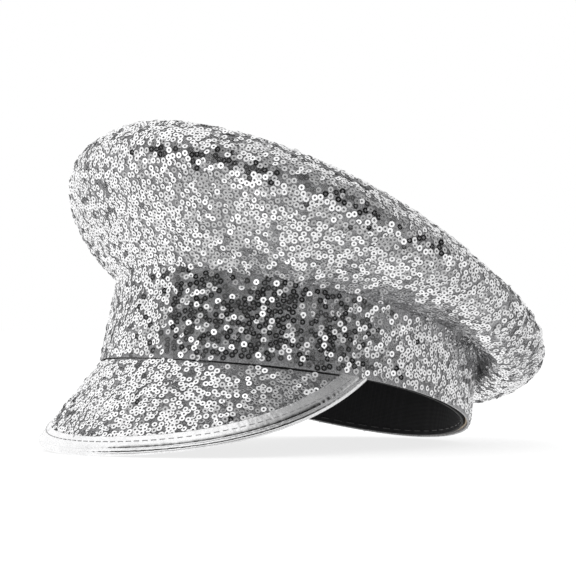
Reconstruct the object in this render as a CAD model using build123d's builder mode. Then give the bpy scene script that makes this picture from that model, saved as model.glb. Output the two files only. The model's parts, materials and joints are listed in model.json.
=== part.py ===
"""A sequinned, peaked party hat, standing as it rests on a table.

Frame: Z up, the table is Z = 0, the peak points along -Y and the wearer's left is +X.
The hat leans back on the front edge of its peak and the back of its band, so almost
every piece is laid out in the hat's own tilted plane, HAT, whose origin is the middle
of the band's bottom edge.  A piece's depth is measured inwards from the outer surface.
"""
from build123d import *
from dataclasses import dataclass
from math import atan, atan2, ceil, cos, degrees, hypot, radians, sin
import os

os.makedirs("parts", exist_ok=True)

# ---------------------------------------------------------------- driving sizes, mm
# Band: the oval wall that grips the head
band_width = 170.4
band_length = 204.0
band_height = 36.7              # at the sides, where it is lowest
band_dip = 6.2                  # how far the bottom edge hangs lower at front and back
band_narrowing = 3.4            # width lost between the bottom and the neck
band_shortening = 2.0           # length lost between the bottom and the neck
neck_shift = 0.9                # the neck sits this much further back
neck_lean = 1.5                 # degrees, front up

# Crown: rings above the neck, each as side overhang, end overhang, shift back,
# rise above the neck and lean in degrees (front up)
roll = (9.0, 6.6, -2.3, 0.8, 7.2)
flare = (21.0, 19.5, -5.8, 5.5, 13.2)
brim = (30.4, 37.1, 2.3, 22.1, 13.9)
top_seam = (18.3, 31.3, 4.0, 31.5, 15.3)
crown_doming = 9.0              # rise of the top panel above its seam
side_seam_angle = 105.0         # degrees round from the middle of the front

# Peak: a crescent that slopes steeply down from the front of the band
peak_length = 59.4              # along its slope, in the middle
peak_slope = 60.8               # degrees below the band's bottom edge
peak_corner = 28.3              # its corners stop this far in front of the band's middle
peak_sag = 5.0                  # bow of its outline, seen from the side
peak_overrun = 1.2              # the sheet is cut this much longer, then trimmed to its outline

# Thicknesses
sequin_cloth = 1.0              # mesh with its layer of overlapping sequins
interlining = 1.5
lining = 0.5
stiffener = 0.8
sweatband_thickness = 1.0
peak_cloth = 0.7
peak_board_thickness = 1.2
peak_lining = 0.5
binding = 0.5

# Hoop, stay and turnings
hoop_wire = 1.6
hoop_inset = 10.0
hoop_rise = 1.8                 # its middle stands this far above the top seam
hoop_gap = 1.5                  # between the ends of the wire
joiner_wall = 0.25
joiner_length = 22.0
bore_overrun = 1.2              # the bore is cut this much longer than the joiner
stay_width = 62.0
stay_height = 52.0
stay_foot = 6.0                 # the stay starts this far above the sweatband
stay_corner = 12.0
tape_height = 8.0
tape_thickness = 0.5
binding_width = 11.0
sweatband_rise = 1.0            # the sweatband stands above the neck
stiffener_margin = 1.2          # the stiffener stops short of both edges of the band

# Stitching
thread = 0.45
binding_stitch = 2.6
binding_pitch = 4.2
sweatband_stitch = 4.2
sweatband_pitch = 7.0
stitch_margin = 1.0             # from the row to the edge of the piece that it holds
stitch_lift = 0.05

# Clearances
layer_gap = 0.3                 # between two layers of cloth
snug_gap = 0.15                 # between bonded layers, and round the hoop
mouth_lip = 0.4                 # turned edge left round the crown's mouth

reach = 400.0                   # longer than the hat, for cutting regions


# ---------------------------------------------------------------- how the hat stands
def bottom_edge(y):
    """Height of the band's bottom edge above the hat's origin."""
    return -band_dip * (2 * y / band_length) ** 2


slope_run = cos(radians(peak_slope))
slope_drop = sin(radians(peak_slope))
peak_top = -band_dip - layer_gap
peak_tip = (-band_length / 2 - peak_length * slope_run, peak_top - peak_length * slope_drop)
heel = (band_length / 2, bottom_edge(band_length / 2))
rest_lean = degrees(atan2(heel[1] - peak_tip[1], heel[0] - peak_tip[0]))
rest_sin = sin(radians(rest_lean))
rest_cos = cos(radians(rest_lean))
lift = peak_tip[0] * rest_sin - peak_tip[1] * rest_cos


@dataclass
class Ring:
    """An oval across the hat, level from side to side and leaning from front to back."""

    half_width: float
    half_length: float
    back: float
    height: float
    lean: float

    def ends(self):
        """Distance out and height of the ring's front, side and back."""
        run = self.half_length * cos(radians(self.lean))
        climb = self.half_length * sin(radians(self.lean))
        front = (run - self.back, self.height + climb)
        rear = (run + self.back, self.height - climb)
        return front, (self.half_width, self.height), rear

    def plane(self):
        lean = radians(rest_lean + self.lean)
        origin = HAT.from_local_coords((0, self.back, self.height))
        return Plane(origin=origin, x_dir=(1, 0, 0), z_dir=(0, sin(lean), cos(lean)))


def crown_ring(overhang):
    side, end, shift, rise, lean = overhang
    half_width = (band_width - band_narrowing) / 2 + side
    half_length = (band_length - band_shortening) / 2 + end
    return Ring(half_width, half_length, shift, band_height + rise, lean)


neck_ring = crown_ring((0, 0, neck_shift, 0, neck_lean))
crown_rings = [neck_ring] + [crown_ring(overhang) for overhang in (roll, flare, brim, top_seam)]
brim_ring, seam_ring = crown_rings[-2:]

back_bulge = 3.17               # the crown swells this far behind its widest ring
front_reach = -(peak_tip[0] * rest_cos + peak_tip[1] * rest_sin)
brim_back = brim_ring.ends()[2]
back_reach = brim_back[0] * rest_cos + brim_back[1] * rest_sin + back_bulge
HAT = Plane(
    origin=(0, (front_reach - back_reach) / 2, lift),
    x_dir=(1, 0, 0),
    z_dir=(0, rest_sin, rest_cos),
)
SIDE_VIEW = Plane(origin=HAT.origin, x_dir=HAT.y_dir, z_dir=HAT.x_dir)
FRONT_VIEW = Plane(origin=HAT.origin, x_dir=HAT.x_dir, z_dir=-HAT.y_dir)
NECK = neck_ring.plane()
SEAM = seam_ring.plane()


# ---------------------------------------------------------------- shapes shared by pieces
def oval(ring, inset=0.0, raised=0.0):
    """The face of a ring, drawn on its own plane or a little above it."""
    with BuildSketch(ring.plane().offset(raised)) as section:
        Ellipse(ring.half_width - inset, ring.half_length - inset)
    return section.sketch


def blend_rings(low, high, share):
    """The ring that lies this share of the way from the low one to the high one."""
    sizes = zip(vars(low).values(), vars(high).values())
    return Ring(*(a + (b - a) * share for a, b in sizes))


def keep_view(plane, outline, mode=Mode.INTERSECT):
    """Keep, or cut, what lies inside an outline seen square to the plane."""
    with BuildSketch(plane) as region:
        with BuildLine():
            outline()
        make_face()
    extrude(region.sketch, amount=reach, both=True, mode=mode)


def above_bottom_edge(margin):
    """Outline of everything higher than the band's bottom edge plus a margin."""
    wide = 0.6 * band_length
    low = bottom_edge(wide) + margin
    ThreePointArc((-wide, low), (0, margin), (wide, low))
    Polyline((wide, low), (wide, reach), (-wide, reach), (-wide, low))


def band_wall(outer, inner, bottom, top):
    """A layer of the band between two depths, trimmed to its bottom edge and its top."""
    base = Ring(band_width / 2, band_length / 2, 0, -1.3 * band_dip, 0)
    high = blend_rings(base, neck_ring, 1.3)
    for depth, mode in ((outer, Mode.ADD), (inner, Mode.SUBTRACT)):
        loft([oval(base, depth), oval(high, depth)], ruled=True, mode=mode)
    keep_view(SIDE_VIEW, lambda: above_bottom_edge(bottom))
    split(bisect_by=NECK.offset(top), keep=Keep.BOTTOM)


def inward(before, after):
    """Unit step from a wall towards the inside of the hat, as distance out and height."""
    out, up = after[0] - before[0], after[1] - before[1]
    return -up / hypot(out, up), out / hypot(out, up)


def sunk_ring(index, depths):
    """A ring of the crown moved inwards by a depth at its front, side and back."""
    ring = crown_rings[index]
    moved = []
    for k, depth in enumerate(depths):
        here = ring.ends()[k]
        if index == 0:
            after = crown_rings[1].ends()[k]
            before = (here[0], here[1] - hypot(after[0] - here[0], after[1] - here[1]))
            step = inward(before, after)
        elif ring is seam_ring:
            normal = inward(crown_rings[index - 1].ends()[k], here)
            turn = radians(ring.lean) * (1, 0, -1)[k]
            step = (-cos(turn), -sin(turn))
            depth = depth / (step[0] * normal[0] + step[1] * normal[1])
        else:
            step = inward(crown_rings[index - 1].ends()[k], crown_rings[index + 1].ends()[k])
        moved.append((here[0] + depth * step[0], here[1] + depth * step[1]))
    front, side, rear = moved
    run, fall = front[0] + rear[0], front[1] - rear[1]
    return Ring(
        half_width=side[0],
        half_length=hypot(run, fall) / 2,
        back=(rear[0] - front[0]) / 2,
        height=(front[1] + rear[1]) / 2,
        lean=degrees(atan2(fall, run)),
    )


def crown_wall(outer, inner):
    """A layer of the crown's side between two sets of front, side and back depths."""
    for depths, mode in ((outer, Mode.ADD), (inner, Mode.SUBTRACT)):
        loft([oval(sunk_ring(index, depths)) for index in range(len(crown_rings))], mode=mode)
    mouth = oval(sunk_ring(0, inner), inset=mouth_lip, raised=mouth_lip)
    extrude(mouth, amount=-band_height, mode=Mode.SUBTRACT)


def even(depth):
    return depth, depth, depth


def back_sector(clearance):
    """Outline of the crown's back, between its two side seams, seen from above."""
    turn = radians(180 - side_seam_angle)
    seam_end = (reach * sin(turn), reach * cos(turn) - clearance)
    Polyline((0, -clearance), seam_end, (reach, reach), (-reach, reach),
             (-seam_end[0], seam_end[1]), (0, -clearance))


# Share of the oval and share of the rise, from the seam up to the middle of the top
dome_profile = ((1.0, 0.0), (0.955, 0.48), (0.86, 0.70), (0.55, 0.91), (0.12, 1.0))


def dome(inset, rise, mode=Mode.ADD):
    """A shallow dome that stands on the top seam."""
    sections = []
    for share, climb in dome_profile:
        with BuildSketch(SEAM.offset(layer_gap + rise * climb)) as section:
            Ellipse((seam_ring.half_width - inset) * share, (seam_ring.half_length - inset) * share)
        sections.append(section.sketch)
    loft(sections, mode=mode)


# The peak hangs from an oval that follows the front of the band's bottom edge
root_fall = (bottom_edge(peak_corner) - bottom_edge(band_length / 2)) / (band_length / 2 - peak_corner)
root_lean = -atan(root_fall)


def peak_ring(distance):
    """The oval that lies this far down the peak's slope from the band."""
    out = distance * slope_run
    front = band_length / 2 + out
    height = peak_top - distance * slope_drop + front * root_fall
    return Ring(band_width / 2 + out, front / cos(root_lean), 0, height, degrees(root_lean))


peak_root = peak_ring(0)
peak_foot = peak_ring(peak_overrun * peak_length)


def peak_sheet(outer, inner):
    """A layer of the peak between two depths, all the way round the hat."""
    for depth, mode in ((outer, Mode.ADD), (inner, Mode.SUBTRACT)):
        inset = depth / slope_drop
        loft([oval(peak_root, inset), oval(peak_foot, inset)], ruled=True, mode=mode)


def peak_outline(trim):
    """Side view of everything behind the peak's edge, trimmed back along its slope."""
    corner = (-peak_corner, bottom_edge(peak_corner))
    chord = atan2(corner[1] - peak_tip[1], corner[0] - peak_tip[0])
    shift = trim * sin(radians(peak_slope) - chord)
    step = (-shift * sin(chord), shift * cos(chord))
    tip = (peak_tip[0] + step[0], peak_tip[1] + step[1])
    end = (corner[0] + step[0], corner[1] + step[1])
    beyond = (tip[0] - peak_cloth * cos(chord), tip[1] - peak_cloth * sin(chord))
    SagittaArc(tip, end, -peak_sag)
    Polyline(end, (end[0], reach), (tip[0] - reach, reach), (tip[0] - reach, beyond[1]), beyond, tip)


def stitches(edge, face, length, pitch, climb):
    """Short lengths of thread on a face, in a row beside the edge that they follow.

    climb is the distance from the edge to the row: upwards, or downwards if negative.
    """
    count = ceil(edge.length / pitch)
    for k in range(count):
        share = (k + 0.5) / count
        start = edge.position_at(share)
        along = edge.tangent_at(share)
        outward = face.normal_at(start)
        across = outward.cross(along).normalized()
        if across.Z * climb < 0:
            across = -across
        middle = start + across * abs(climb) + outward * (thread / 2 + stitch_lift)
        with BuildSketch(Plane(origin=middle - along * (length / 2), z_dir=along)) as section:
            Circle(thread / 2)
        extrude(section.sketch, amount=length)


def finish(part, name):
    part.label = name
    export_step(part, f"parts/{name}.step")


# ---------------------------------------------------------------- crown, outside
with BuildPart() as crown_front_panel:
    crown_wall(even(0), even(sequin_cloth))
    keep_view(HAT, lambda: back_sector(layer_gap), Mode.SUBTRACT)
finish(crown_front_panel.part, "crown_front_panel")

with BuildPart() as crown_back_panel:
    crown_wall(even(0), even(sequin_cloth))
    keep_view(HAT, lambda: back_sector(0))
finish(crown_back_panel.part, "crown_back_panel")

with BuildPart() as crown_top_panel:
    dome(0, crown_doming)
    dome(sequin_cloth, crown_doming - sequin_cloth, Mode.SUBTRACT)
finish(crown_top_panel.part, "crown_top_panel")

# ---------------------------------------------------------------- crown, inside
foam_depth = sequin_cloth + layer_gap
foam_inside = foam_depth + interlining

with BuildPart() as crown_front_interlining:
    crown_wall(even(foam_depth), even(foam_inside))
    keep_view(HAT, lambda: back_sector(layer_gap), Mode.SUBTRACT)
    split(bisect_by=SEAM.offset(-layer_gap), keep=Keep.BOTTOM)
finish(crown_front_interlining.part, "crown_front_interlining")

with BuildPart() as crown_back_interlining:
    crown_wall(even(foam_depth), even(foam_inside))
    keep_view(HAT, lambda: back_sector(0))
    split(bisect_by=SEAM.offset(-layer_gap), keep=Keep.BOTTOM)
finish(crown_back_interlining.part, "crown_back_interlining")

with BuildPart() as crown_top_interlining:
    dome(foam_depth, crown_doming - foam_depth)
    dome(foam_inside, crown_doming - foam_inside, Mode.SUBTRACT)
finish(crown_top_interlining.part, "crown_top_interlining")

stay_depth = foam_inside + layer_gap

with BuildPart() as front_stay:
    crown_wall(even(stay_depth), even(stay_depth + stiffener))
    with BuildSketch(FRONT_VIEW):
        with Locations((0, band_height + sweatband_rise + stay_height / 2 + stay_foot)):
            RectangleRounded(stay_width, stay_height, stay_corner)
    extrude(amount=reach, both=True, mode=Mode.INTERSECT)
    split(bisect_by=Plane(origin=HAT.origin, z_dir=HAT.y_dir), keep=Keep.BOTTOM)
finish(front_stay.part, "front_stay")

lining_slack = 0.6              # the lining hangs this far clear of the interlining
lining_depths = (stay_depth + stiffener + layer_gap, foam_inside + lining_slack, foam_inside + lining_slack)
lining_inside = tuple(depth + lining for depth in lining_depths)

with BuildPart() as crown_side_lining:
    crown_wall(lining_depths, lining_inside)
    split(bisect_by=SEAM.offset(-layer_gap), keep=Keep.BOTTOM)
finish(crown_side_lining.part, "crown_side_lining")

# The hoop is a wire ring that keeps the top seam open; a crimped tube joins its ends
HOOP = SEAM.offset(hoop_rise)
hoop_half_width = seam_ring.half_width - hoop_inset
hoop_half_length = seam_ring.half_length - hoop_inset


def along_hoop(radius, half_angle, centre_angle, mode=Mode.ADD):
    """A round bar that follows the hoop for an angle each side of a place on it."""
    with BuildLine(HOOP) as path:
        EllipticalCenterArc(
            (0, 0), hoop_half_width, hoop_half_length,
            start_angle=centre_angle - half_angle, arc_size=2 * half_angle,
        )
    with BuildSketch(Plane(origin=path.line @ 0, z_dir=path.line % 0)) as section:
        Circle(radius)
    sweep(section.sketch, path=path.line, mode=mode)


back_angle = 90.0
gap_half_angle = degrees(hoop_gap / 2 / hoop_half_width)
joiner_half_angle = degrees(joiner_length / 2 / hoop_half_width)

with BuildPart() as crown_hoop:
    along_hoop(hoop_wire / 2, 180 - gap_half_angle, back_angle + 180)
finish(crown_hoop.part, "crown_hoop")

with BuildPart() as hoop_joiner:
    along_hoop(hoop_wire / 2 + snug_gap + joiner_wall, joiner_half_angle, back_angle)
    along_hoop(hoop_wire / 2 + snug_gap, bore_overrun * joiner_half_angle, back_angle, Mode.SUBTRACT)
finish(hoop_joiner.part, "hoop_joiner")

top_lining_inset = hoop_inset + hoop_wire / 2 + snug_gap + joiner_wall + layer_gap
top_lining_rise = 2.4           # at its middle, above its edge

with BuildPart() as crown_top_lining:
    dome(top_lining_inset, top_lining_rise)
    dome(top_lining_inset + lining, top_lining_rise - lining, Mode.SUBTRACT)
finish(crown_top_lining.part, "crown_top_lining")

# ---------------------------------------------------------------- band
with BuildPart() as band_cover:
    band_wall(0, sequin_cloth, 0, -layer_gap)
finish(band_cover.part, "band_cover")

stiffener_depth = sequin_cloth + layer_gap

with BuildPart() as band_stiffener:
    band_wall(stiffener_depth, stiffener_depth + stiffener, stiffener_margin, -stiffener_margin)
finish(band_stiffener.part, "band_stiffener")

tape_depth = stiffener_depth + stiffener + layer_gap
sweatband_depth = tape_depth + tape_thickness + layer_gap
sweatband_inside = sweatband_depth + sweatband_thickness

with BuildPart() as sweatband:
    band_wall(sweatband_depth, sweatband_inside, 0, sweatband_rise)
finish(sweatband.part, "sweatband")

# ---------------------------------------------------------------- peak
cover_depth = binding + snug_gap
cover_inside = cover_depth + peak_cloth
board_depth = cover_inside + snug_gap
board_inside = board_depth + peak_board_thickness
under_depth = board_inside + snug_gap
under_inside = under_depth + peak_lining
edge_trim = binding + snug_gap / slope_run

with BuildPart() as peak_top_cover:
    peak_sheet(cover_depth, cover_inside)
    keep_view(SIDE_VIEW, lambda: peak_outline(edge_trim))
finish(peak_top_cover.part, "peak_top_cover")

with BuildPart() as peak_board:
    peak_sheet(board_depth, board_inside)
    keep_view(SIDE_VIEW, lambda: peak_outline(edge_trim))
finish(peak_board.part, "peak_board")

with BuildPart() as peak_under_cover:
    peak_sheet(under_depth, under_inside)
    keep_view(SIDE_VIEW, lambda: peak_outline(edge_trim))
finish(peak_under_cover.part, "peak_under_cover")

# A tape sewn to the root of the peak is turned up inside the band, and holds the peak on
with BuildPart() as peak_joining_tape:
    band_wall(tape_depth, tape_depth + tape_thickness, 0, tape_height - band_height)
    split(bisect_by=Plane(origin=HAT.origin, z_dir=HAT.y_dir).offset(-peak_corner), keep=Keep.BOTTOM)
finish(peak_joining_tape.part, "peak_joining_tape")

with BuildPart() as binding_slot:
    peak_sheet(binding, under_inside + snug_gap)
    keep_view(SIDE_VIEW, lambda: peak_outline(binding))

with BuildPart() as peak_binding:
    peak_sheet(0, under_inside + snug_gap + binding)
    keep_view(SIDE_VIEW, lambda: peak_outline(0))
    keep_view(SIDE_VIEW, lambda: peak_outline(binding_width), Mode.SUBTRACT)
    add(binding_slot.part, mode=Mode.SUBTRACT)
finish(peak_binding.part, "peak_binding")

# ---------------------------------------------------------------- stitching
binding_face = peak_binding.faces().sort_by(SortBy.AREA)[-1]
binding_edge = binding_face.edges().sort_by(SortBy.LENGTH)[-1]

with BuildPart() as binding_stitching:
    stitches(binding_edge, binding_face, binding_stitch, binding_pitch, -stitch_margin)
finish(binding_stitching.part, "binding_stitching")

sweatband_face = sweatband.faces().sort_by(SortBy.AREA)[-2]
sweatband_edge = sweatband_face.edges().sort_by(SortBy.LENGTH)[-2:].sort_by(Axis.Z)[0]

with BuildPart() as sweatband_stitching:
    stitches(sweatband_edge, sweatband_face, sweatband_stitch, sweatband_pitch, 2 * stitch_margin)
finish(sweatband_stitching.part, "sweatband_stitching")
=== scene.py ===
"""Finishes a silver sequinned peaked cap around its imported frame.

Laid out as a Blender add-on and run as a script. Each operator makes or finishes one
group of the cap's pieces, and another sets the stage, the light and the camera.
"""

import json
import math

import bmesh
import bpy
from bpy.props import (
    FloatProperty,
    FloatVectorProperty,
    IntProperty,
    PointerProperty,
)
from mathutils import Matrix, Vector
from mathutils import noise as crumple


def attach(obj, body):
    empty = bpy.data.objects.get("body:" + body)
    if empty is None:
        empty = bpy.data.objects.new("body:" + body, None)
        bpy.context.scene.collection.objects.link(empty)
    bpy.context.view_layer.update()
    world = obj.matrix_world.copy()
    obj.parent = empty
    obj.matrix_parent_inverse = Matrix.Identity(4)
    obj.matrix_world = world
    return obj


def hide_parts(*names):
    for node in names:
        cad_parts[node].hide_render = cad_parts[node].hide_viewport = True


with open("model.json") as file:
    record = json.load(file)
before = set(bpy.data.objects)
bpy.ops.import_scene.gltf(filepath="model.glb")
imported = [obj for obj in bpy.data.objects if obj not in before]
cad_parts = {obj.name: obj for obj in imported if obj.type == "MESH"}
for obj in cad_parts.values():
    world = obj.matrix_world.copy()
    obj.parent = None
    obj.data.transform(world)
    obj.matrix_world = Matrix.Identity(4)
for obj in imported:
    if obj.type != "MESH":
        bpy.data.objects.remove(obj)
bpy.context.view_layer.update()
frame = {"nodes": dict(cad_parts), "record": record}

bl_info = {
    "name": "Sequinned peaked cap",
    "version": (1, 0, 0),
    "blender": (4, 5, 0),
    "location": "3D View > Sidebar > Cap",
    "description": "Sews sequins on a peaked cap and finishes its cloth and trim",
    "category": "Object",
}

MM = 0.001
NODES = frame["nodes"]
MOUTH = next(m for m in frame["record"]["mounts"] if m["name"] == "head_opening")
HAT_ORIGIN = Vector(MOUTH["pos_m"])
HAT_UP = -Vector(MOUTH["axis"])
HAT_ACROSS = Vector((1, 0, 0))
HAT_BACK = HAT_UP.cross(HAT_ACROSS)

# the sequinned pieces, each with the shares that its sequins are made in
LEFT, RIGHT, FRONT, BACK = (1, 0, 0), (-1, 0, 0), (0, -1, 0), (0, 1, 0)
NOWHERE = (0, 0, 0)
WHOLE = {"": ()}
HALVES = {"_left": (LEFT,), "_right": (RIGHT,)}
QUARTERS = {
    "_front_left": (FRONT, LEFT),
    "_front_right": (FRONT, RIGHT),
    "_back_left": (BACK, LEFT),
    "_back_right": (BACK, RIGHT),
}
SHARES = {
    "crown_front_panel": HALVES,
    "crown_back_panel": WHOLE,
    "crown_top_panel": QUARTERS,
    "band_cover": HALVES,
    "peak_top_cover": WHOLE,
}
BINDING_WIDTH = 11 * MM


def length_setting(name, description, default):
    """A small length, shown to a hundredth of a millimetre."""
    return FloatProperty(
        name=name, description=description, default=default, unit="LENGTH", precision=5
    )


def angle_setting(name, description, degrees):
    return FloatProperty(
        name=name,
        description=description,
        default=math.radians(degrees),
        subtype="ANGLE",
    )


def colour_setting(name, description, default):
    return FloatVectorProperty(
        name=name,
        description=description,
        default=default,
        subtype="COLOR",
        min=0,
        max=1,
    )


class CapSequins(bpy.types.PropertyGroup):
    """Sizes of the ring sequins and how they lie on the cloth"""

    diameter: length_setting(
        "Diameter", "Width of one ring sequin", 2.95 * MM
    )
    hole: length_setting(
        "Hole", "Width of the hole in a sequin", 1.15 * MM
    )
    ridge: length_setting(
        "Ridge", "Depth of a sequin behind its flat face", 0.12 * MM
    )
    spacing: length_setting(
        "Spacing", "Least distance between two sequins", 2.36 * MM
    )
    seam_gap: length_setting(
        "Seam gap", "Bare cloth left beside each seam", 0.9 * MM
    )
    lift: length_setting(
        "Lift", "Height of a sequin over its cloth", 0.42 * MM
    )
    tilt: angle_setting(
        "Tilt", "Most that a stray sequin leans away from its cloth", 24
    )
    sway: angle_setting(
        "Sway", "Lean that neighbouring sequins share", 6
    )
    sides: IntProperty(
        name="Sides",
        description="Straight edges round one sequin",
        default=9,
        min=6,
    )
    seed: IntProperty(
        name="Seed", description="Start of the scatter's random numbers", default=7
    )
    colour: colour_setting(
        "Colour", "Colour of the metallised film", (0.97, 0.97, 0.975)
    )


class CapFolds(bpy.types.PropertyGroup):
    """Sizes of the rolled binding and of the gathers behind the side seams"""

    roll: length_setting(
        "Roll", "Radius of the padded roll along the edge of the peak", 1.65 * MM
    )
    crinkle: length_setting(
        "Crinkle", "Depth of the creases in the binding", 0.16 * MM
    )
    gather: length_setting(
        "Gather",
        "Height of the folds where the back of the crown is gathered",
        0.9 * MM,
    )
    folds: FloatProperty(
        name="Folds",
        description="Folds in each radian round a gathered corner",
        default=3.4,
    )
    cloth: length_setting(
        "Cloth", "Thickness of the gathered cloth", 0.9 * MM
    )


class CapCloth(bpy.types.PropertyGroup):
    """Colours of the cloth, the trim and the hidden layers"""

    ground: colour_setting(
        "Ground cloth",
        "Colour of the knitted cloth under the sequins",
        (0.44, 0.44, 0.45),
    )
    binding: colour_setting(
        "Binding",
        "Colour of the metallic leatherette round the peak",
        (0.90, 0.90, 0.905),
    )
    lining: colour_setting(
        "Lining", "Colour of the satin lining", (0.008, 0.008, 0.009)
    )
    sweatband: colour_setting(
        "Sweatband", "Colour of the cotton sweatband", (0.014, 0.014, 0.015)
    )
    thread: colour_setting(
        "Thread", "Colour of the sewing thread", (0.42, 0.42, 0.43)
    )


class CapStage(bpy.types.PropertyGroup):
    """Floor, light and camera"""

    floor_colour: colour_setting(
        "Floor", "Colour of the floor", (0.40, 0.40, 0.40)
    )
    azimuth: angle_setting(
        "Azimuth", "Direction of the camera round the cap, from its front", 44.28
    )
    elevation: angle_setting(
        "Elevation", "Height of the camera over the level of its aim", -0.35
    )
    distance: FloatProperty(
        name="Distance",
        description="Distance of the camera from its aim",
        default=1.4,
        unit="LENGTH",
    )
    lens: FloatProperty(
        name="Lens",
        description="Focal length of the camera, in millimetres",
        default=174.1,
    )
    aim_height: length_setting(
        "Aim height", "Height of the camera's aim over the cap's own origin", 49.79 * MM
    )
    sky: FloatProperty(
        name="Sky",
        description="Brightness of the soft light all round",
        default=1.45,
    )


# ---------------------------------------------------------------- node helpers


def add_node(tree, kind, settings=None, **inputs):
    """A new node with its options and inputs set. Input names use _ for a space."""
    node = tree.nodes.new(kind)
    for option, value in (settings or {}).items():
        setattr(node, option, value)
    for name, value in inputs.items():
        plug(tree, node, name.replace("_", " "), value)
    return node


def plug(tree, node, name, value):
    """Sets an input, by name or number, to a value or links a socket to it."""
    socket = node.inputs[name]
    if isinstance(value, bpy.types.NodeSocket):
        tree.links.new(value, socket)
    else:
        socket.default_value = value


def blank_material(name):
    """A material with only a Principled shader, and the tree and the shader."""
    material = bpy.data.materials.new(name)
    material.use_nodes = True
    tree = material.node_tree
    return material, tree, tree.nodes["Principled BSDF"]


def grey(level):
    return (level, level, level, 1)


def object_place(tree):
    return add_node(tree, "ShaderNodeTexCoord").outputs["Object"]


def noise(tree, scale, detail=2, roughness=0.5, place=None):
    return add_node(
        tree,
        "ShaderNodeTexNoise",
        Vector=place or object_place(tree),
        Scale=scale,
        Detail=detail,
        Roughness=roughness,
    ).outputs["Fac"]


def ramp(tree, value, low, high, start, end):
    """value, carried from low..high to start..end and kept inside."""
    return add_node(
        tree,
        "ShaderNodeMapRange",
        Value=value,
        From_Min=low,
        From_Max=high,
        To_Min=start,
        To_Max=end,
    ).outputs["Result"]


def shaded(tree, colour, factor):
    """colour, made lighter or darker by a factor that varies over the surface."""
    scale = add_node(tree, "ShaderNodeVectorMath", {"operation": "SCALE"})
    scale.inputs[0].default_value = colour[:3]
    tree.links.new(factor, scale.inputs["Scale"])
    return scale.outputs["Vector"]


def arithmetic(tree, operation, first, second):
    node = add_node(tree, "ShaderNodeMath", {"operation": operation})
    plug(tree, node, 0, first)
    plug(tree, node, 1, second)
    return node.outputs[0]


def vector_math(tree, operation, first, second):
    node = add_node(tree, "ShaderNodeVectorMath", {"operation": operation})
    plug(tree, node, 0, first)
    plug(tree, node, 1, second)
    return node.outputs[0]


def dot_product(tree, first, second):
    node = add_node(tree, "ShaderNodeVectorMath", {"operation": "DOT_PRODUCT"})
    plug(tree, node, 0, first)
    plug(tree, node, 1, second)
    return node.outputs["Value"]


def rib(tree, direction, pitch, place=None):
    """0..1 ridges square to direction, one every pitch metres."""
    along = dot_product(
        tree, place or object_place(tree), Vector(direction).normalized()
    )
    turns = arithmetic(tree, "MULTIPLY", along, math.tau / pitch)
    wave = arithmetic(tree, "SINE", turns, 0.0)
    return ramp(tree, wave, -1, 1, 0, 1)


def bump(tree, shader, height, strength, depth):
    node = add_node(
        tree, "ShaderNodeBump", Height=height, Strength=strength, Distance=depth
    )
    tree.links.new(node.outputs["Normal"], shader.inputs["Normal"])


# ---------------------------------------------------------------- finishes


def sequin_film(colour):
    """Metallised film, each sequin brighter, duller or more scuffed than the next."""
    material, tree, shader = blank_material("sequin film")
    shade = add_node(
        tree,
        "ShaderNodeAttribute",
        {"attribute_name": "shade", "attribute_type": "GEOMETRY"},
    ).outputs["Fac"]
    scuffs = noise(tree, 1400, 3)
    brightness = arithmetic(
        tree,
        "MULTIPLY",
        ramp(tree, shade, 0, 1, 0.88, 1.02),
        ramp(tree, scuffs, 0.3, 0.7, 0.95, 1.0),
    )
    tree.links.new(shaded(tree, colour, brightness), shader.inputs["Base Color"])
    shader.inputs["Metallic"].default_value = 1.0
    tree.links.new(ramp(tree, shade, 0, 1, 0.24, 0.12), shader.inputs["Roughness"])
    bump(tree, shader, scuffs, 0.12, 0.05 * MM)
    return material


def knitted_ground(colour):
    """Fine knitted cloth with lustrous yarn, which shows between the sequins."""
    material, tree, shader = blank_material("knitted ground cloth")
    loops = add_node(
        tree, "ShaderNodeTexVoronoi", Vector=object_place(tree), Scale=1500.0
    ).outputs["Distance"]
    cloud = noise(tree, 60, 3)
    factor = arithmetic(
        tree,
        "MULTIPLY",
        ramp(tree, loops, 0.1, 0.7, 1.25, 0.55),
        ramp(tree, cloud, 0.3, 0.7, 0.85, 1.15),
    )
    tree.links.new(shaded(tree, colour, factor), shader.inputs["Base Color"])
    shader.inputs["Metallic"].default_value = 0.15
    shader.inputs["Roughness"].default_value = 0.55
    shader.inputs["Sheen Weight"].default_value = 0.25
    bump(tree, shader, ramp(tree, loops, 0, 0.8, 1, 0), 0.7, 0.25 * MM)
    return material


def metallic_leatherette(colour):
    """Crinkled silver film on a soft backing, with painted shade darkening the colour along
    its creases.
    """
    material, tree, shader = blank_material("metallic leatherette")
    place = object_place(tree)
    wide = noise(tree, 90, 3, 0.6, place)
    grain = noise(tree, 900, 4, 0.6, place)
    cracks = add_node(
        tree,
        "ShaderNodeTexVoronoi",
        {"feature": "DISTANCE_TO_EDGE"},
        Vector=place,
        Scale=700.0,
    ).outputs["Distance"]
    # painted shade: the base colour is darkened along the crack lines, standing in for
    # shade in the creases
    crease = ramp(tree, cracks, 0.0, 0.12, 0.86, 1.0)
    factor = arithmetic(
        tree, "MULTIPLY", crease, ramp(tree, wide, 0.3, 0.7, 0.9, 1.06)
    )
    tree.links.new(shaded(tree, colour, factor), shader.inputs["Base Color"])
    shader.inputs["Metallic"].default_value = 1.0
    tree.links.new(ramp(tree, grain, 0.35, 0.65, 0.16, 0.26), shader.inputs["Roughness"])
    height = arithmetic(
        tree,
        "ADD",
        arithmetic(tree, "MULTIPLY", wide, 3.0),
        arithmetic(tree, "MULTIPLY", grain, 0.12),
    )
    height = arithmetic(tree, "ADD", height, ramp(tree, cracks, 0, 0.15, 0, 0.08))
    bump(tree, shader, height, 0.3, 0.3 * MM)
    return material


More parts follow.
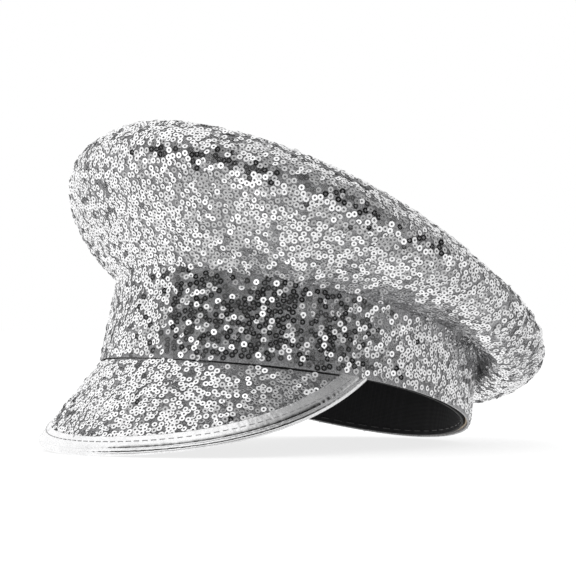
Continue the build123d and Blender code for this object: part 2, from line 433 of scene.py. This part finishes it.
def satin_lining(colour):
    """Black satin with a fine diagonal twill."""
    material, tree, shader = blank_material("satin lining")
    place = object_place(tree)
    twill = rib(tree, (1, 1, 1.4), 0.45 * MM, place)
    cloud = noise(tree, 45, 3, 0.5, place)
    factor = arithmetic(
        tree,
        "MULTIPLY",
        ramp(tree, twill, 0, 1, 0.6, 1.5),
        ramp(tree, cloud, 0.3, 0.7, 0.8, 1.25),
    )
    tree.links.new(shaded(tree, colour, factor), shader.inputs["Base Color"])
    shader.inputs["Roughness"].default_value = 0.62
    shader.inputs["Sheen Weight"].default_value = 0.05
    shader.inputs["Specular IOR Level"].default_value = 0.25
    bump(tree, shader, twill, 0.5, 0.12 * MM)
    return material


def ribbed_cotton(colour, name="ribbed cotton sweatband"):
    """Cotton band, woven with upright ribs and a cross thread."""
    material, tree, shader = blank_material(name)
    place = object_place(tree)
    weft = rib(tree, HAT_UP, 0.7 * MM, place)
    warp = arithmetic(
        tree,
        "MULTIPLY",
        rib(tree, HAT_ACROSS, 0.9 * MM, place),
        rib(tree, HAT_BACK, 0.9 * MM, place),
    )
    weave = arithmetic(tree, "ADD", weft, arithmetic(tree, "MULTIPLY", warp, 0.6))
    tree.links.new(
        shaded(tree, colour, ramp(tree, weave, 0, 1.6, 0.5, 1.6)),
        shader.inputs["Base Color"],
    )
    shader.inputs["Roughness"].default_value = 0.85
    shader.inputs["Sheen Weight"].default_value = 0.08
    shader.inputs["Specular IOR Level"].default_value = 0.2
    bump(tree, shader, weave, 0.7, 0.2 * MM)
    return material


def pressed_felt(name, colour, fibre, roughness):
    """Interlining or board: short pressed fibres lying every way."""
    material, tree, shader = blank_material(name)
    place = object_place(tree)
    fine = noise(tree, fibre, 5, 0.65, place)
    cloud = noise(tree, 40, 2, 0.5, place)
    factor = arithmetic(
        tree,
        "MULTIPLY",
        ramp(tree, fine, 0.3, 0.7, 0.82, 1.12),
        ramp(tree, cloud, 0.3, 0.7, 0.93, 1.05),
    )
    tree.links.new(shaded(tree, colour, factor), shader.inputs["Base Color"])
    shader.inputs["Roughness"].default_value = roughness
    bump(tree, shader, fine, 0.5, 0.2 * MM)
    return material


def coated_wire():
    """Black plastic coat on a springy wire, with faint draw marks."""
    material, tree, shader = blank_material("coated wire")
    marks = noise(tree, 700, 3)
    tree.links.new(
        shaded(tree, (0.03, 0.03, 0.032), ramp(tree, marks, 0.3, 0.7, 0.7, 1.4)),
        shader.inputs["Base Color"],
    )
    tree.links.new(ramp(tree, marks, 0.3, 0.7, 0.3, 0.5), shader.inputs["Roughness"])
    bump(tree, shader, marks, 0.2, 0.05 * MM)
    return material


def twisted_thread(colour):
    """Sewing thread with a slanting twist."""
    material, tree, shader = blank_material("twisted thread")
    twist = rib(tree, (1, 0.6, 0.8), 0.28 * MM)
    tree.links.new(
        shaded(tree, colour, ramp(tree, twist, 0, 1, 0.65, 1.15)),
        shader.inputs["Base Color"],
    )
    shader.inputs["Roughness"].default_value = 0.5
    shader.inputs["Sheen Weight"].default_value = 0.3
    bump(tree, shader, twist, 0.6, 0.06 * MM)
    return material


def dress(node_name, material):
    """Gives a CAD node its finish."""
    slots = NODES[node_name].data.materials
    slots.clear()
    slots.append(material)


# ---------------------------------------------------------------- cloth faces


def outer_face(node_name):
    """A sheet's larger smooth face, as an open mesh with its doubles merged."""
    merge_distance = 0.002 * MM
    sharp = math.radians(38)
    loose = bmesh.new()
    loose.from_mesh(NODES[node_name].data)
    bmesh.ops.remove_doubles(loose, verts=loose.verts, dist=merge_distance)
    loose.faces.ensure_lookup_table()
    unseen = set(loose.faces)
    best, best_area = [], 0.0
    while unseen:
        first = unseen.pop()
        region, frontier = [first], [first]
        while frontier:
            face = frontier.pop()
            for edge in face.edges:
                if len(edge.link_faces) != 2:
                    continue
                if edge.calc_face_angle(math.pi) > sharp:
                    continue
                for other in edge.link_faces:
                    if other in unseen:
                        unseen.remove(other)
                        region.append(other)
                        frontier.append(other)
        area = sum(face.calc_area() for face in region)
        if area > best_area:
            best, best_area = region, area
    keep = set(best)
    bmesh.ops.delete(
        loose, geom=[f for f in loose.faces if f not in keep], context="FACES"
    )
    return loose


def mesh_object(name, form):
    """A new object from a bmesh, which is then freed."""
    mesh = bpy.data.meshes.new(name)
    form.to_mesh(mesh)
    form.free()
    made = bpy.data.objects.new(name, mesh)
    bpy.context.scene.collection.objects.link(made)
    return made


def ring_sequin(sizes):
    """One closed ring sequin, flat on its shiny side, lying in the XY plane."""
    outer, inner = sizes.diameter / 2, sizes.hole / 2
    form = bmesh.new()
    rounds = []
    for radius, height in (
        (outer, 0.0),
        (inner, 0.0),
        ((outer + inner) / 2, -sizes.ridge),
    ):
        corners = []
        for step in range(sizes.sides):
            turn = math.tau * step / sizes.sides
            corners.append(
                form.verts.new(
                    (radius * math.cos(turn), radius * math.sin(turn), height)
                )
            )
        rounds.append(corners)
    for here, there in zip(rounds, rounds[1:] + rounds[:1]):
        for step in range(sizes.sides):
            after = (step + 1) % sizes.sides
            form.faces.new((here[step], here[after], there[after], there[step]))
    bmesh.ops.recalc_face_normals(form, faces=form.faces)
    return mesh_object("sequin pattern", form)


SCATTER_INPUTS = (
    ("Cloth", "NodeSocketGeometry"),
    ("Sequin", "NodeSocketObject"),
    ("First side", "NodeSocketVector"),
    ("Second side", "NodeSocketVector"),
    ("Spacing", "NodeSocketFloat"),
    ("Seam gap", "NodeSocketFloat"),
    ("Trim", "NodeSocketObject"),
    ("Lift", "NodeSocketFloat"),
    ("Tilt", "NodeSocketFloat"),
    ("Sway", "NodeSocketFloat"),
    ("Seed", "NodeSocketInt"),
    ("Film", "NodeSocketMaterial"),
)


# how the rings are scattered
DENSEST = 2.2e6  # places tried to a square metre, before the spacing thins them
SWAY_SCALE = 42.0  # waves of shared lean to a metre
NOISE_GAIN = 4.0  # widens the noise's narrow middle range to about the full sway
SMALLEST, LARGEST = 0.95, 1.04  # size of a ring, as a share of its diameter
LOWEST, HIGHEST = 0.6, 1.5  # height of a ring, as a share of the lift
SHADE_SEED = 31


def compare(tree, operation, first, second):
    node = add_node(
        tree, "FunctionNodeCompare", {"data_type": "FLOAT", "operation": operation}
    )
    plug(tree, node, 0, first)
    plug(tree, node, 1, second)
    return node.outputs["Result"]


def both_of(tree, first, second):
    node = add_node(tree, "FunctionNodeBooleanMath", {"operation": "AND"})
    plug(tree, node, 0, first)
    plug(tree, node, 1, second)
    return node.outputs[0]


def random_between(tree, low, high, seed=0):
    """A random number of each sequin's own."""
    node = add_node(tree, "FunctionNodeRandomValue", {"data_type": "FLOAT"}, Seed=seed)
    plug(tree, node, 2, low)
    plug(tree, node, 3, high)
    return node.outputs[1]


def rotated(tree, rotation, lean):
    """rotation, leant further by an Euler angle in its own frame."""
    turn = add_node(tree, "FunctionNodeEulerToRotation", Euler=lean)
    return add_node(
        tree,
        "FunctionNodeRotateRotation",
        {"rotation_space": "LOCAL"},
        Rotation=rotation,
        Rotate_By=turn.outputs[0],
    ).outputs[0]


def shape_of(tree, item):
    """Another object's mesh, in that object's own place."""
    return add_node(
        tree,
        "GeometryNodeObjectInfo",
        {"transform_space": "ORIGINAL"},
        Object=item,
    ).outputs["Geometry"]


def rim_of(tree, cloth):
    """The cloth's rim: the edges that belong to a single face."""
    around = add_node(tree, "GeometryNodeInputMeshEdgeNeighbors")
    single = add_node(
        tree, "FunctionNodeCompare", {"data_type": "INT", "operation": "EQUAL"}
    )
    plug(tree, single, 2, around.outputs["Face Count"])
    plug(tree, single, 3, 1)
    return add_node(
        tree,
        "GeometryNodeSeparateGeometry",
        {"domain": "EDGE"},
        Geometry=cloth,
        Selection=single.outputs["Result"],
    ).outputs["Selection"]


def clear_of(tree, shape, element, gap):
    """Whether each point is further than gap from a shape's edges or faces."""
    near = add_node(tree, "GeometryNodeProximity", {"target_element": element})
    plug(tree, near, 0, shape)
    return compare(tree, "GREATER_THAN", near.outputs["Distance"], gap)


def chosen_points(tree, given, place):
    """Whether a point is clear of rim and trim, and in the share that is being sewn."""
    gap = given["Seam gap"]
    chosen = both_of(
        tree,
        clear_of(tree, rim_of(tree, given["Cloth"]), "EDGES", gap),
        clear_of(tree, shape_of(tree, given["Trim"]), "FACES", gap),
    )
    for side in ("First side", "Second side"):
        ahead = compare(
            tree, "GREATER_EQUAL", dot_product(tree, place, given[side]), 0.0
        )
        chosen = both_of(tree, chosen, ahead)
    return chosen


def own_lean(tree, given):
    """A lean of each ring's own, small for most rings and large for a few."""
    own = add_node(tree, "FunctionNodeRandomValue", {"data_type": "FLOAT_VECTOR"})
    own.inputs["Min"].default_value = (-1, -1, -1)
    own.inputs["Max"].default_value = (1, 1, 1)
    tree.links.new(given["Seed"], own.inputs["Seed"])
    chance = own.outputs["Value"]
    squared = vector_math(tree, "MULTIPLY", chance, chance)
    cubed = vector_math(tree, "MULTIPLY", squared, chance)
    most = add_node(
        tree, "ShaderNodeCombineXYZ", X=given["Tilt"], Y=given["Tilt"], Z=math.pi
    )
    return vector_math(tree, "MULTIPLY", cubed, most.outputs[0])


def shared_lean(tree, given, place):
    """A lean that drifts slowly over the cloth, so that neighbours share it."""
    cloud = add_node(
        tree, "ShaderNodeTexNoise", Vector=place, Scale=SWAY_SCALE, Detail=2.0
    ).outputs["Color"]
    centred = vector_math(tree, "SUBTRACT", cloud, (0.5, 0.5, 0.5))
    shared = add_node(tree, "ShaderNodeVectorMath", {"operation": "SCALE"})
    tree.links.new(centred, shared.inputs[0])
    reach = arithmetic(tree, "MULTIPLY", given["Sway"], NOISE_GAIN)
    tree.links.new(reach, shared.inputs["Scale"])
    return shared.outputs[0]


def scatter_tree():
    """The sewing of sequins: even random places, each ring leaning its own way."""
    tree = bpy.data.node_groups.new("Sew sequins", "GeometryNodeTree")
    for name, kind in SCATTER_INPUTS:
        tree.interface.new_socket(name, in_out="INPUT", socket_type=kind)
    tree.interface.new_socket(
        "Sequins", in_out="OUTPUT", socket_type="NodeSocketGeometry"
    )
    given = tree.nodes.new("NodeGroupInput").outputs

    points = add_node(
        tree,
        "GeometryNodeDistributePointsOnFaces",
        {"distribute_method": "POISSON"},
        Mesh=given["Cloth"],
        Distance_Min=given["Spacing"],
        Density_Max=DENSEST,
        Seed=given["Seed"],
    )
    place = add_node(tree, "GeometryNodeInputPosition").outputs[0]
    chosen = chosen_points(tree, given, place)
    leaning = rotated(tree, points.outputs["Rotation"], shared_lean(tree, given, place))
    sewn = add_node(
        tree,
        "GeometryNodeInstanceOnPoints",
        Points=points.outputs["Points"],
        Selection=chosen,
        Instance=shape_of(tree, given["Sequin"]),
        Rotation=rotated(tree, leaning, own_lean(tree, given)),
        Scale=random_between(tree, SMALLEST, LARGEST, given["Seed"]),
    )
    rise = random_between(
        tree,
        arithmetic(tree, "MULTIPLY", given["Lift"], LOWEST),
        arithmetic(tree, "MULTIPLY", given["Lift"], HIGHEST),
    )
    raised = add_node(tree, "GeometryNodeTranslateInstances")
    upward = add_node(tree, "ShaderNodeCombineXYZ", Z=rise)
    tree.links.new(sewn.outputs[0], raised.inputs["Instances"])
    tree.links.new(upward.outputs[0], raised.inputs["Translation"])
    marked = add_node(
        tree,
        "GeometryNodeStoreNamedAttribute",
        {"data_type": "FLOAT", "domain": "INSTANCE"},
        Geometry=raised.outputs[0],
        Name="shade",
        Value=random_between(tree, 0.0, 1.0, SHADE_SEED),
    )
    real = add_node(
        tree, "GeometryNodeRealizeInstances", Geometry=marked.outputs[0]
    )
    filmed = add_node(
        tree,
        "GeometryNodeSetMaterial",
        Geometry=real.outputs[0],
        Material=given["Film"],
    )
    out = tree.nodes.new("NodeGroupOutput")
    tree.links.new(filmed.outputs[0], out.inputs[0])
    return tree


def run_tree(cloth, tree, values, name):
    """Runs a geometry tree on cloth and returns the result as a plain mesh object."""
    modifier = cloth.modifiers.new("tree", "NODES")
    modifier.node_group = tree
    for item in tree.interface.items_tree:
        if item.item_type == "SOCKET" and item.name in values:
            modifier[item.identifier] = values[item.name]
    bpy.context.view_layer.update()
    evaluated = cloth.evaluated_get(bpy.context.evaluated_depsgraph_get())
    mesh = bpy.data.meshes.new_from_object(evaluated)
    mesh.name = name
    made = bpy.data.objects.new(name, mesh)
    bpy.context.scene.collection.objects.link(made)
    old = cloth.data
    bpy.data.objects.remove(cloth)
    bpy.data.meshes.remove(old)
    return made


def refine(form, longest, most_rounds=9):
    """Splits long edges of a bmesh until none is longer than this."""
    for _ in range(most_rounds):
        long_edges = [e for e in form.edges if e.calc_length() > longest]
        if not long_edges:
            return
        bmesh.ops.subdivide_edges(form, edges=long_edges, cuts=1)
        bmesh.ops.triangulate(
            form, faces=[f for f in form.faces if len(f.verts) > 3]
        )
        seen, twins = set(), []
        for face in form.faces:
            corners = frozenset(face.verts)
            if corners in seen:
                twins.append(face)
            seen.add(corners)
        bmesh.ops.delete(form, geom=twins, context="FACES_ONLY")


def smooth_step(value, low, high):
    share = min(max((value - low) / (high - low), 0.0), 1.0)
    return share * share * (3 - 2 * share)


# the gathers: the finest mesh they need, and how far from a corner they start and fade
GATHER_MESH = 2.2 * MM
CORNER_ZONE = 12 * MM
FOLDS_START = (2 * MM, 14 * MM)
FOLDS_FADE = (45 * MM, 85 * MM)
WANDER_SCALE = 45


def gathered_face(folds):
    """The back panel's outer face, with folds that fan out from its lower front corners."""
    form = outer_face("crown_back_panel")
    front = min(v.co.y for v in form.verts)
    corner = min(
        (v.co for v in form.verts if v.co.y < front + CORNER_ZONE and v.co.x > 0),
        key=lambda place: place.dot(HAT_UP),
    ).copy()
    refine(form, GATHER_MESH)
    form.normal_update()
    rim = {v for e in form.edges if e.is_boundary for v in e.verts}
    moves = {}
    for vert in form.verts:
        place = Vector((abs(vert.co.x), vert.co.y, vert.co.z))
        away = place - corner
        distance = away.length
        turn = math.atan2(away.dot(HAT_UP), away.dot(HAT_BACK))
        wander = crumple.noise(vert.co * WANDER_SCALE)
        fold = math.sin(math.tau * folds.folds * turn + 2.4 * wander)
        fold += 0.5 * math.sin(math.tau * folds.folds * 1.9 * turn - 3.1 * wander)
        near = smooth_step(distance, *FOLDS_START)
        far = 1 - smooth_step(distance, *FOLDS_FADE)
        height = folds.gather * (0.62 * fold * near * far + 0.5 * wander)
        if vert in rim:
            height = 0.0
        moves[vert] = vert.normal * height
    for vert, move in moves.items():
        vert.co += move
    form.normal_update()
    return form


def give_thickness(form, thickness):
    """Closes an open bmesh into a sheet that lies behind its face."""
    form.normal_update()
    front_faces = form.faces[:]
    inner = {v: form.verts.new(v.co - v.normal * thickness) for v in form.verts[:]}
    rim = [e for e in form.edges if e.is_boundary]
    for edge in rim:
        face = edge.link_faces[0]
        loop = next(l for l in face.loops if l.edge == edge)
        first, second = loop.vert, loop.link_loop_next.vert
        form.faces.new((second, first, inner[first], inner[second]))
    for face in front_faces:
        form.faces.new([inner[v] for v in reversed(face.verts)])


def rim_path(node_name):
    """Places and outward normals along the lower edge of a sheet's outer face."""
    form = outer_face(node_name)
    form.normal_update()
    rim = [e for e in form.edges if e.is_boundary]
    beside = {}
    for edge in rim:
        for vert in edge.verts:
            beside.setdefault(vert, []).append(edge.other_vert(vert))
    start = next(iter(beside))
    loop, before = [start], None
    while True:
        after = next(v for v in beside[loop[-1]] if v is not before)
        before = loop[-1]
        if after is start:
            break
        loop.append(after)
    count = len(loop)
    corner_angle = math.radians(30)
    corners = [
        k
        for k in range(count)
        if (loop[k].co - loop[k - 1].co).angle(loop[(k + 1) % count].co - loop[k].co)
        > corner_angle
    ]
    chains = []
    for here, there in zip(corners, corners[1:] + [corners[0] + count]):
        chains.append([loop[k % count] for k in range(here, there + 1)])
    chains.sort(
        key=lambda chain: -sum((b.co - a.co).length for a, b in zip(chain, chain[1:]))
    )
    edge_chain = min(chains[:2], key=lambda chain: min(v.co.z for v in chain))
    if edge_chain[0].co.x > edge_chain[-1].co.x:
        edge_chain.reverse()
    path = [(v.co.copy(), v.normal.copy()) for v in edge_chain]
    form.free()
    return path


def even_path(path, step):
    """The same path with its points an even step apart."""
    lengths = [0.0]
    for (a, _), (b, _) in zip(path, path[1:]):
        lengths.append(lengths[-1] + (b - a).length)
    count = max(2, round(lengths[-1] / step))
    out, k = [], 0
    for number in range(count + 1):
        reach = lengths[-1] * number / count
        while k < len(path) - 2 and lengths[k + 1] < reach:
            k += 1
        share = (reach - lengths[k]) / max(lengths[k + 1] - lengths[k], 1e-9)
        (place, normal), (next_place, next_normal) = path[k], path[k + 1]
        out.append(
            (place.lerp(next_place, share), normal.lerp(next_normal, share).normalized())
        )
    return out


def arc(middle, radius, start, sweep, steps):
    """Points along an arc about middle, its angles in degrees."""
    points = []
    for number in range(steps + 1):
        turn = math.radians(start + sweep * number / steps)
        points.append(
            (middle[0] + radius * math.cos(turn), middle[1] + radius * math.sin(turn))
        )
    return points


def binding_section(folds, width):
    """Closed outline of the binding: distances past the edge and out of the face."""
    roll = folds.roll
    core = 0.8 * roll
    middle = (-2.5 * MM, -1.3 * MM)
    sweep = 266
    top = [
        # the sewn edge, turned over
        (-width, -0.1 * MM),
        (-width + 0.12 * MM, 0.12 * MM),
        (-width + 0.5 * MM, 0.2 * MM),
        # the dip along the stitches, then the flat
        (-width + 1.6 * MM, 0.12 * MM),
        (-width * 0.7, 0.26 * MM),
        (-width * 0.55, 0.24 * MM),
        # the groove beside the roll
        (middle[0] - roll * 1.25, 0.16 * MM),
        (middle[0] - roll * 1.0, -0.1 * MM),
    ]
    outer = arc(middle, roll, 138, -sweep, 16)
    inner = arc(middle, core, -128, sweep, 8)
    return top + outer + inner + [(middle[0] - roll * 1.3, -0.25 * MM)]


def sweep_binding(path, section, crinkle):
    """A closed sleeve of leatherette along the peak's edge, creased across its run."""
    form = bmesh.new()
    rounds = []
    for number, (place, normal) in enumerate(path):
        after = path[min(number + 1, len(path) - 1)][0]
        before = path[max(number - 1, 0)][0]
        along = (after - before).normalized()
        down = normal.cross(along).normalized()
        if down.z > 0:
            down = -down
        corners = []
        for past, out in section:
            spot = place + down * past + normal * out
            crease = crumple.noise(
                Vector((number * 0.55, past / MM * 0.35, out / MM * 0.35))
            )
            crease += 0.5 * crumple.noise(Vector((number * 1.3, past / MM * 0.8, 5)))
            corners.append(form.verts.new(spot + normal * crease * crinkle))
        rounds.append(corners)
    count = len(section)
    for here, there in zip(rounds, rounds[1:]):
        for k in range(count):
            after = (k + 1) % count
            form.faces.new((here[k], here[after], there[after], there[k]))
    for ending in (rounds[0], rounds[-1][::-1]):
        form.faces.new(ending)
    bmesh.ops.recalc_face_normals(form, faces=form.faces)
    return form


# ---------------------------------------------------------------- operators


class GatherBackPanel(bpy.types.Operator):
    """Gathers the back of the crown at its two lower corners"""

    bl_idname = "cap.gather_back_panel"
    bl_label = "Gather the back panel"

    def execute(self, context):
        form = gathered_face(context.scene.cap_folds)
        give_thickness(form, context.scene.cap_folds.cloth)
        made = mesh_object("crown_back_gathered", form)
        made.data.shade_smooth()
        made.data.materials.append(NODES["band_cover"].data.materials[0])
        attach(made, "root")
        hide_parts("crown_back_panel")
        return {"FINISHED"}


class RollBinding(bpy.types.Operator):
    """Folds the metallic binding round the peak's edge, with a padded roll"""

    bl_idname = "cap.roll_binding"
    bl_label = "Roll the binding"

    def execute(self, context):
        folds = context.scene.cap_folds
        step = 0.8 * MM
        path = even_path(rim_path("peak_binding"), step)
        form = sweep_binding(path, binding_section(folds, BINDING_WIDTH), folds.crinkle)
        made = mesh_object("peak_binding_rolled", form)
        made.data.shade_smooth()
        made.data.materials.append(NODES["peak_binding"].data.materials[0])
        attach(made, "root")
        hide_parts("peak_binding")
        return {"FINISHED"}


class SewSequins(bpy.types.Operator):
    """Sews ring sequins on the crown, the band and the peak"""

    bl_idname = "cap.sew_sequins"
    bl_label = "Sew the sequins"

    def execute(self, context):
        sizes = context.scene.cap_sequins
        film = sequin_film(sizes.colour)
        pattern = ring_sequin(sizes)
        tree = scatter_tree()
        for number, node_name in enumerate(SHARES):
            for share, directions in SHARES[node_name].items():
                if node_name == "crown_back_panel":
                    form = gathered_face(context.scene.cap_folds)
                else:
                    form = outer_face(node_name)
                name = f"{node_name}_sequins{share}"
                sides = (*directions, NOWHERE, NOWHERE)[:2]
                values = {
                    "Sequin": pattern,
                    "First side": sides[0],
                    "Second side": sides[1],
                    "Spacing": sizes.spacing,
                    "Seam gap": sizes.seam_gap,
                    "Trim": NODES["peak_binding"],
                    "Lift": sizes.lift,
                    "Tilt": sizes.tilt,
                    "Sway": sizes.sway,
                    "Seed": sizes.seed + number,
                    "Film": film,
                }
                sewn = run_tree(mesh_object("cloth", form), tree, values, name)
                if not sewn.data.polygons:
                    raise RuntimeError(f"no sequins on {node_name}")
                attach(sewn, "root")
        bpy.data.objects.remove(pattern)
        return {"FINISHED"}


class FinishSewnParts(bpy.types.Operator):
    """Gives every cloth, board, wire and thread of the cap its finish"""

    bl_idname = "cap.finish_sewn_parts"
    bl_label = "Finish the sewn parts"

    def execute(self, context):
        cloth = context.scene.cap_cloth
        ground = knitted_ground(cloth.ground)
        leatherette = metallic_leatherette(cloth.binding)
        lining = satin_lining(cloth.lining)
        cotton = ribbed_cotton(cloth.sweatband)
        felt = pressed_felt("pressed interlining", (0.62, 0.61, 0.58), 1100, 0.95)
        board = pressed_felt("pressed board", (0.5, 0.42, 0.32), 700, 0.8)
        tape = ribbed_cotton(cloth.sweatband, "woven joining tape")
        thread = twisted_thread(cloth.thread)
        dark_thread = twisted_thread((0.006, 0.006, 0.006))
        for node_name in SHARES:
            dress(node_name, ground)
        dress("peak_binding", leatherette)
        for node_name in ("crown_side_lining", "crown_top_lining", "peak_under_cover"):
            dress(node_name, lining)
        dress("sweatband", cotton)
        for node_name in (
            "crown_front_interlining",
            "crown_back_interlining",
            "crown_top_interlining",
        ):
            dress(node_name, felt)
        for node_name in ("front_stay", "band_stiffener", "peak_board"):
            dress(node_name, board)
        dress("peak_joining_tape", tape)
        dress("crown_hoop", coated_wire())
        dress("hoop_joiner", coated_wire())
        dress("binding_stitching", thread)
        dress("sweatband_stitching", dark_thread)
        return {"FINISHED"}


class SetStage(bpy.types.Operator):
    """Lays the pale floor, lights the cap softly and places the camera"""

    bl_idname = "cap.set_stage"
    bl_label = "Set the stage"

    def execute(self, context):
        stage = context.scene.cap_stage
        floor(stage)
        camera = place_camera(context.scene, stage)
        soft_sky(context.scene, stage, camera)
        context.scene.view_settings.view_transform = "Standard"
        return {"FINISHED"}


def floor(stage):
    """A wide pale floor just under the cap, low enough to miss its lowest sequins."""
    radius, drop = 6.0, 0.8 * MM
    form = bmesh.new()
    bmesh.ops.create_circle(form, cap_ends=True, segments=96, radius=radius)
    made = mesh_object("floor", form)
    made.data.transform(Matrix.Translation((0, 0, -drop)))
    material, tree, shader = blank_material("floor paper")
    fibre = noise(tree, 300, 3)
    tree.links.new(
        shaded(tree, stage.floor_colour, ramp(tree, fibre, 0.3, 0.7, 0.99, 1.01)),
        shader.inputs["Base Color"],
    )
    shader.inputs["Roughness"].default_value = 0.9
    shader.inputs["Specular IOR Level"].default_value = 0.0
    shader.inputs["Emission Color"].default_value = grey(1.0)
    shader.inputs["Emission Strength"].default_value = 0.8
    made.data.materials.append(material)
    made.visible_glossy = False
    return made


def place_camera(scene, stage):
    """Places the camera, and returns the direction from its aim back to it."""
    turn, climb = stage.azimuth, stage.elevation
    back = Vector(
        (
            math.sin(turn) * math.cos(climb),
            -math.cos(turn) * math.cos(climb),
            math.sin(climb),
        )
    )
    right = Vector((math.cos(turn), math.sin(turn), 0))
    up = back.cross(right)
    aim_right = 0.06
    aim = HAT_ORIGIN + up * stage.aim_height + right * aim_right * MM
    lens = bpy.data.cameras.new("camera")
    lens.lens = stage.lens
    lens.sensor_width = 36
    lens.clip_start = 0.05
    lens.clip_end = 100
    made = bpy.data.objects.new("camera", lens)
    scene.collection.objects.link(made)
    placed = Matrix((right, up, back)).transposed().to_4x4()
    placed.translation = aim + back * stage.distance
    made.matrix_world = placed
    scene.camera = made
    return back


# brightness of the studio on the camera's side, from straight down to straight up
SKY_LEVELS = (
    (-1.0, 0.95),
    (-0.82, 0.95),
    (-0.74, 0.5),
    (-0.36, 0.42),
    (-0.3, 1.15),
    (0.02, 1.15),
    (0.09, 0.012),
    (0.56, 0.012),
    (0.66, 0.4),
    (0.82, 0.85),
    (1.0, 1.1),
)


def soft_sky(scene, stage, towards):
    """White light all round, with dark and dim gaps on the camera's side."""
    world = bpy.data.worlds.new("studio")
    scene.world = world
    world.use_nodes = True
    tree = world.node_tree
    tree.nodes.clear()
    direction = add_node(tree, "ShaderNodeTexCoord").outputs["Generated"]
    height = add_node(tree, "ShaderNodeSeparateXYZ", Vector=direction).outputs["Z"]
    level = Vector((towards.x, towards.y, 0)).normalized()
    right = Vector((-level.y, level.x, 0))

    facing = lean_towards(tree, direction, level)
    sideways = lean_towards(tree, direction, right)
    panels = add_node(
        tree, "ShaderNodeValToRGB", Fac=ramp(tree, height, -1, 1, 0, 1)
    )
    stops = panels.color_ramp.elements
    while len(stops) > 1:
        stops.remove(stops[-1])
    for number, (place, brightness) in enumerate(SKY_LEVELS):
        share = (place + 1) / 2
        stop = stops[0] if number == 0 else stops.new(share)
        stop.position = share
        stop.color = grey(brightness)
    side_light = ramp(tree, sideways, -0.2, 0.55, 1.05, 0.8)
    high_right = level * 0.1 + right * 0.63 + Vector((0, 0, 0.77))
    dim_right = ramp(
        tree, lean_towards(tree, direction, high_right), 0.8, 0.9, 1.0, 0.45
    )
    near_side = add_node(tree, "ShaderNodeMix", {"data_type": "FLOAT"})
    tree.links.new(ramp(tree, facing, 0.12, 0.28, 0, 1), near_side.inputs[0])
    near_side.inputs[2].default_value = 0.95
    tree.links.new(panels.outputs["Color"], near_side.inputs[3])
    light = arithmetic(
        tree,
        "MULTIPLY",
        near_side.outputs[0],
        arithmetic(tree, "MULTIPLY", side_light, dim_right),
    )
    studio = add_node(
        tree,
        "ShaderNodeBackground",
        Strength=arithmetic(tree, "MULTIPLY", light, stage.sky),
    )
    plain = add_node(tree, "ShaderNodeBackground", Color=grey(1.0), Strength=1.0)
    path = add_node(tree, "ShaderNodeLightPath")
    chosen = add_node(tree, "ShaderNodeMixShader")
    tree.links.new(path.outputs["Is Camera Ray"], chosen.inputs[0])
    tree.links.new(studio.outputs[0], chosen.inputs[1])
    tree.links.new(plain.outputs[0], chosen.inputs[2])
    out = add_node(tree, "ShaderNodeOutputWorld")
    tree.links.new(chosen.outputs[0], out.inputs["Surface"])


def lean_towards(tree, direction, target):
    """Cosine of the angle between a direction and a fixed one."""
    return dot_product(tree, direction, Vector(target).normalized())


STEPS = (FinishSewnParts, GatherBackPanel, RollBinding, SewSequins, SetStage)


class CapPanel(bpy.types.Panel):
    """Lists the steps that finish the cap, with their sizes and colours"""

    bl_idname = "VIEW3D_PT_cap"
    bl_label = "Sequinned cap"
    bl_space_type = "VIEW_3D"
    bl_region_type = "UI"
    bl_category = "Cap"

    def draw(self, context):
        for step in STEPS:
            self.layout.operator(step.bl_idname)
        for group in (
            context.scene.cap_sequins,
            context.scene.cap_folds,
            context.scene.cap_cloth,
            context.scene.cap_stage,
        ):
            box = self.layout.box()
            for name in group.bl_rna.properties.keys():
                if name not in ("rna_type", "name"):
                    box.prop(group, name)


CLASSES = (CapSequins, CapFolds, CapCloth, CapStage, *STEPS, CapPanel)


def register():
    for kind in CLASSES:
        bpy.utils.register_class(kind)
    bpy.types.Scene.cap_sequins = PointerProperty(type=CapSequins)
    bpy.types.Scene.cap_folds = PointerProperty(type=CapFolds)
    bpy.types.Scene.cap_cloth = PointerProperty(type=CapCloth)
    bpy.types.Scene.cap_stage = PointerProperty(type=CapStage)


def unregister():
    del bpy.types.Scene.cap_sequins
    del bpy.types.Scene.cap_folds
    del bpy.types.Scene.cap_cloth
    del bpy.types.Scene.cap_stage
    for kind in reversed(CLASSES):
        bpy.utils.unregister_class(kind)


def main():
    register()
    bpy.ops.cap.finish_sewn_parts()
    bpy.ops.cap.gather_back_panel()
    bpy.ops.cap.roll_binding()
    bpy.ops.cap.sew_sequins()
    bpy.ops.cap.set_stage()


if __name__ == "__main__":
    main()
